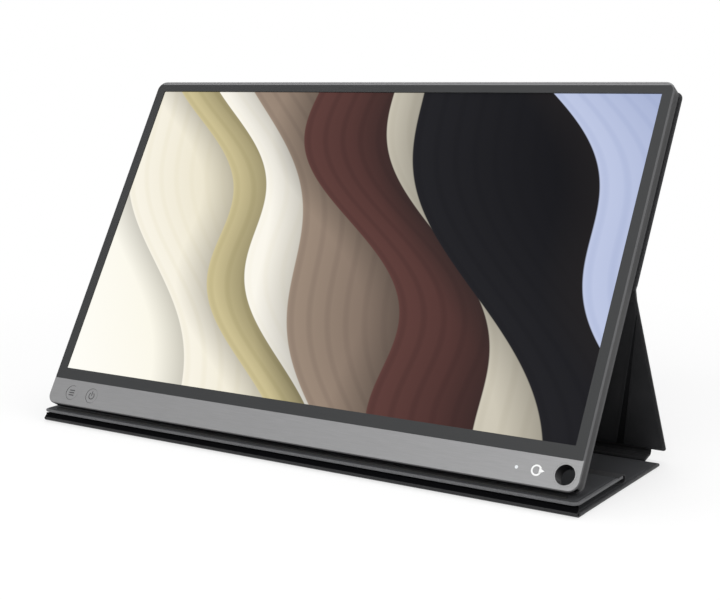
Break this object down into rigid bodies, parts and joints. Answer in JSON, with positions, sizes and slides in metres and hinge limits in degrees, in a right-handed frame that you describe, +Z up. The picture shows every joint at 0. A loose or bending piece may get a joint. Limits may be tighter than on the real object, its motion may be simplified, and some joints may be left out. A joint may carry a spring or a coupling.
{
  "type": "portable monitor with folding cover",
  "caption": "Slim portable monitor leaning back on its own folding cover, which makes a triangular stand with a prop, a flat base and leaves folded under the screen.",
  "frame": {"origin": "middle of the base panel's underside, on the table", "axes": "+X to the viewer's right along the screen, +Y away from the viewer, +Z up"},
  "size_m": [0.3604, 0.1247, 0.2041],
  "materials": {
    "cover_grey": "fine matt texture",
    "frame_silver": "metallic grey paint, satin",
    "bezel_dark": "fine matt texture",
    "screen": "matt anti-glare film, lit from behind",
    "lcd_glass": "clear",
    "optical_film": "white film",
    "acrylic": "clear acrylic",
    "led_strip": "white strip with yellow emitters",
    "tray_steel": "thin pressed steel",
    "foam": "closed-cell foam tape",
    "circuit_board": "green solder mask",
    "ribbon": "amber film",
    "chip_black": "moulded black",
    "key_silver": "metallic grey paint, satin",
    "light_clear": "clear, polished end",
    "bush_silver": "polished grey",
    "magnet_nickel": "nickel plated",
    "case_skin": "grained man-made leather",
    "case_lining": "brushed microfibre",
    "stiffener": "grey board",
    "fold_cloth": "woven cloth",
    "rib_rubber": "soft matt"
  },
  "bodies": {
    "base": {"base_skin": "case_skin", "base_board": "stiffener", "base_lining": "case_lining", "front_fold_web": "fold_cloth", "spine_fold_web": "fold_cloth"},
    "spine": {"spine_skin": "case_skin", "spine_lining": "case_lining", "prop_fold_web": "fold_cloth"},
    "prop": {"prop_skin": "case_skin", "prop_boards": "stiffener", "prop_lining": "case_lining", "apex_fold_web": "fold_cloth"},
    "monitor": {"rear_cover": "cover_grey", "main_frame": "frame_silver", "front_bezel": "bezel_dark", "screen_film": "screen", "lcd_cell": "lcd_glass", "optical_sheets": "optical_film", "light_guide": "acrylic", "reflector_sheet": "optical_film", "led_bar": "led_strip", "panel_tray": "tray_steel", "foam_strips": "foam", "driver_board": "circuit_board", "panel_flex": "ribbon", "main_board": "circuit_board", "board_chips": "chip_black", "board_screws": "tray_steel", "key_board": "circuit_board", "key_switches": "chip_black", "key_flex": "ribbon", "usb_socket": "tray_steel", "usb_tongue": "chip_black", "status_led": "led_strip", "light_pipe": "light_clear", "pen_hole_bush": "bush_silver", "monitor_magnets": "magnet_nickel", "back_skin": "case_skin", "back_board": "stiffener", "back_lining": "case_lining", "back_magnets": "magnet_nickel"},
    "inner_leaf": {"leaf_skin": "case_skin", "leaf_board": "stiffener", "leaf_lining": "case_lining", "middle_fold_web": "fold_cloth"},
    "rest_leaf": {"rest_skin": "case_skin", "rest_board": "stiffener", "rest_lining": "case_lining", "rest_magnets": "magnet_nickel", "stop_rib": "rib_rubber"},
    "menu_key": {"menu_key": "key_silver"},
    "power_key": {"power_key": "key_silver"}
  },
  "joints": [
    {"name": "prop_fold", "type": "hinge", "parent": "spine", "child": "prop", "pos_m": [0, 0.0592, 0.00433], "axis": [-1, 0, 0], "range_deg": [0, 100.45]},
    {"name": "spine_fold", "type": "hinge", "parent": "base", "child": "spine", "pos_m": [0, 0.05105, 0.0023], "axis": [-1, 0, 0], "range_deg": [0, 13.74]},
    {"name": "apex_fold", "type": "hinge", "parent": "prop", "child": "monitor", "pos_m": [0, 0.01409, 0.10126], "axis": [1, 0, 0], "range_deg": [0, 56.28]},
    {"name": "front_fold", "type": "hinge", "parent": "base", "child": "inner_leaf", "pos_m": [0, -0.05105, 0.0023], "axis": [1, 0, 0], "range_deg": [0, 98.02]},
    {"name": "middle_fold", "type": "hinge", "parent": "inner_leaf", "child": "rest_leaf", "pos_m": [0, 0.00195, 0.0052], "axis": [-1, 0, 0], "range_deg": [0, 98.02]},
    {"name": "menu_key_press", "type": "slide", "parent": "monitor", "child": "menu_key", "axis": [0, 0.8581, -0.5135], "range_m": [0, 0.0005], "stiffness_N_per_m": 600, "springref_m": -0.001},
    {"name": "power_key_press", "type": "slide", "parent": "monitor", "child": "power_key", "axis": [0, 0.8581, -0.5135], "range_m": [0, 0.0005], "stiffness_N_per_m": 600, "springref_m": -0.001}
  ],
  "couplings": [
    {"joint": "spine_fold", "follows": "prop_fold", "ratio": 0.13657},
    {"joint": "apex_fold", "follows": "prop_fold", "ratio": 0.56002},
    {"joint": "front_fold", "follows": "prop_fold", "ratio": 0.97552},
    {"joint": "middle_fold", "follows": "prop_fold", "ratio": 0.97552}
  ]
}
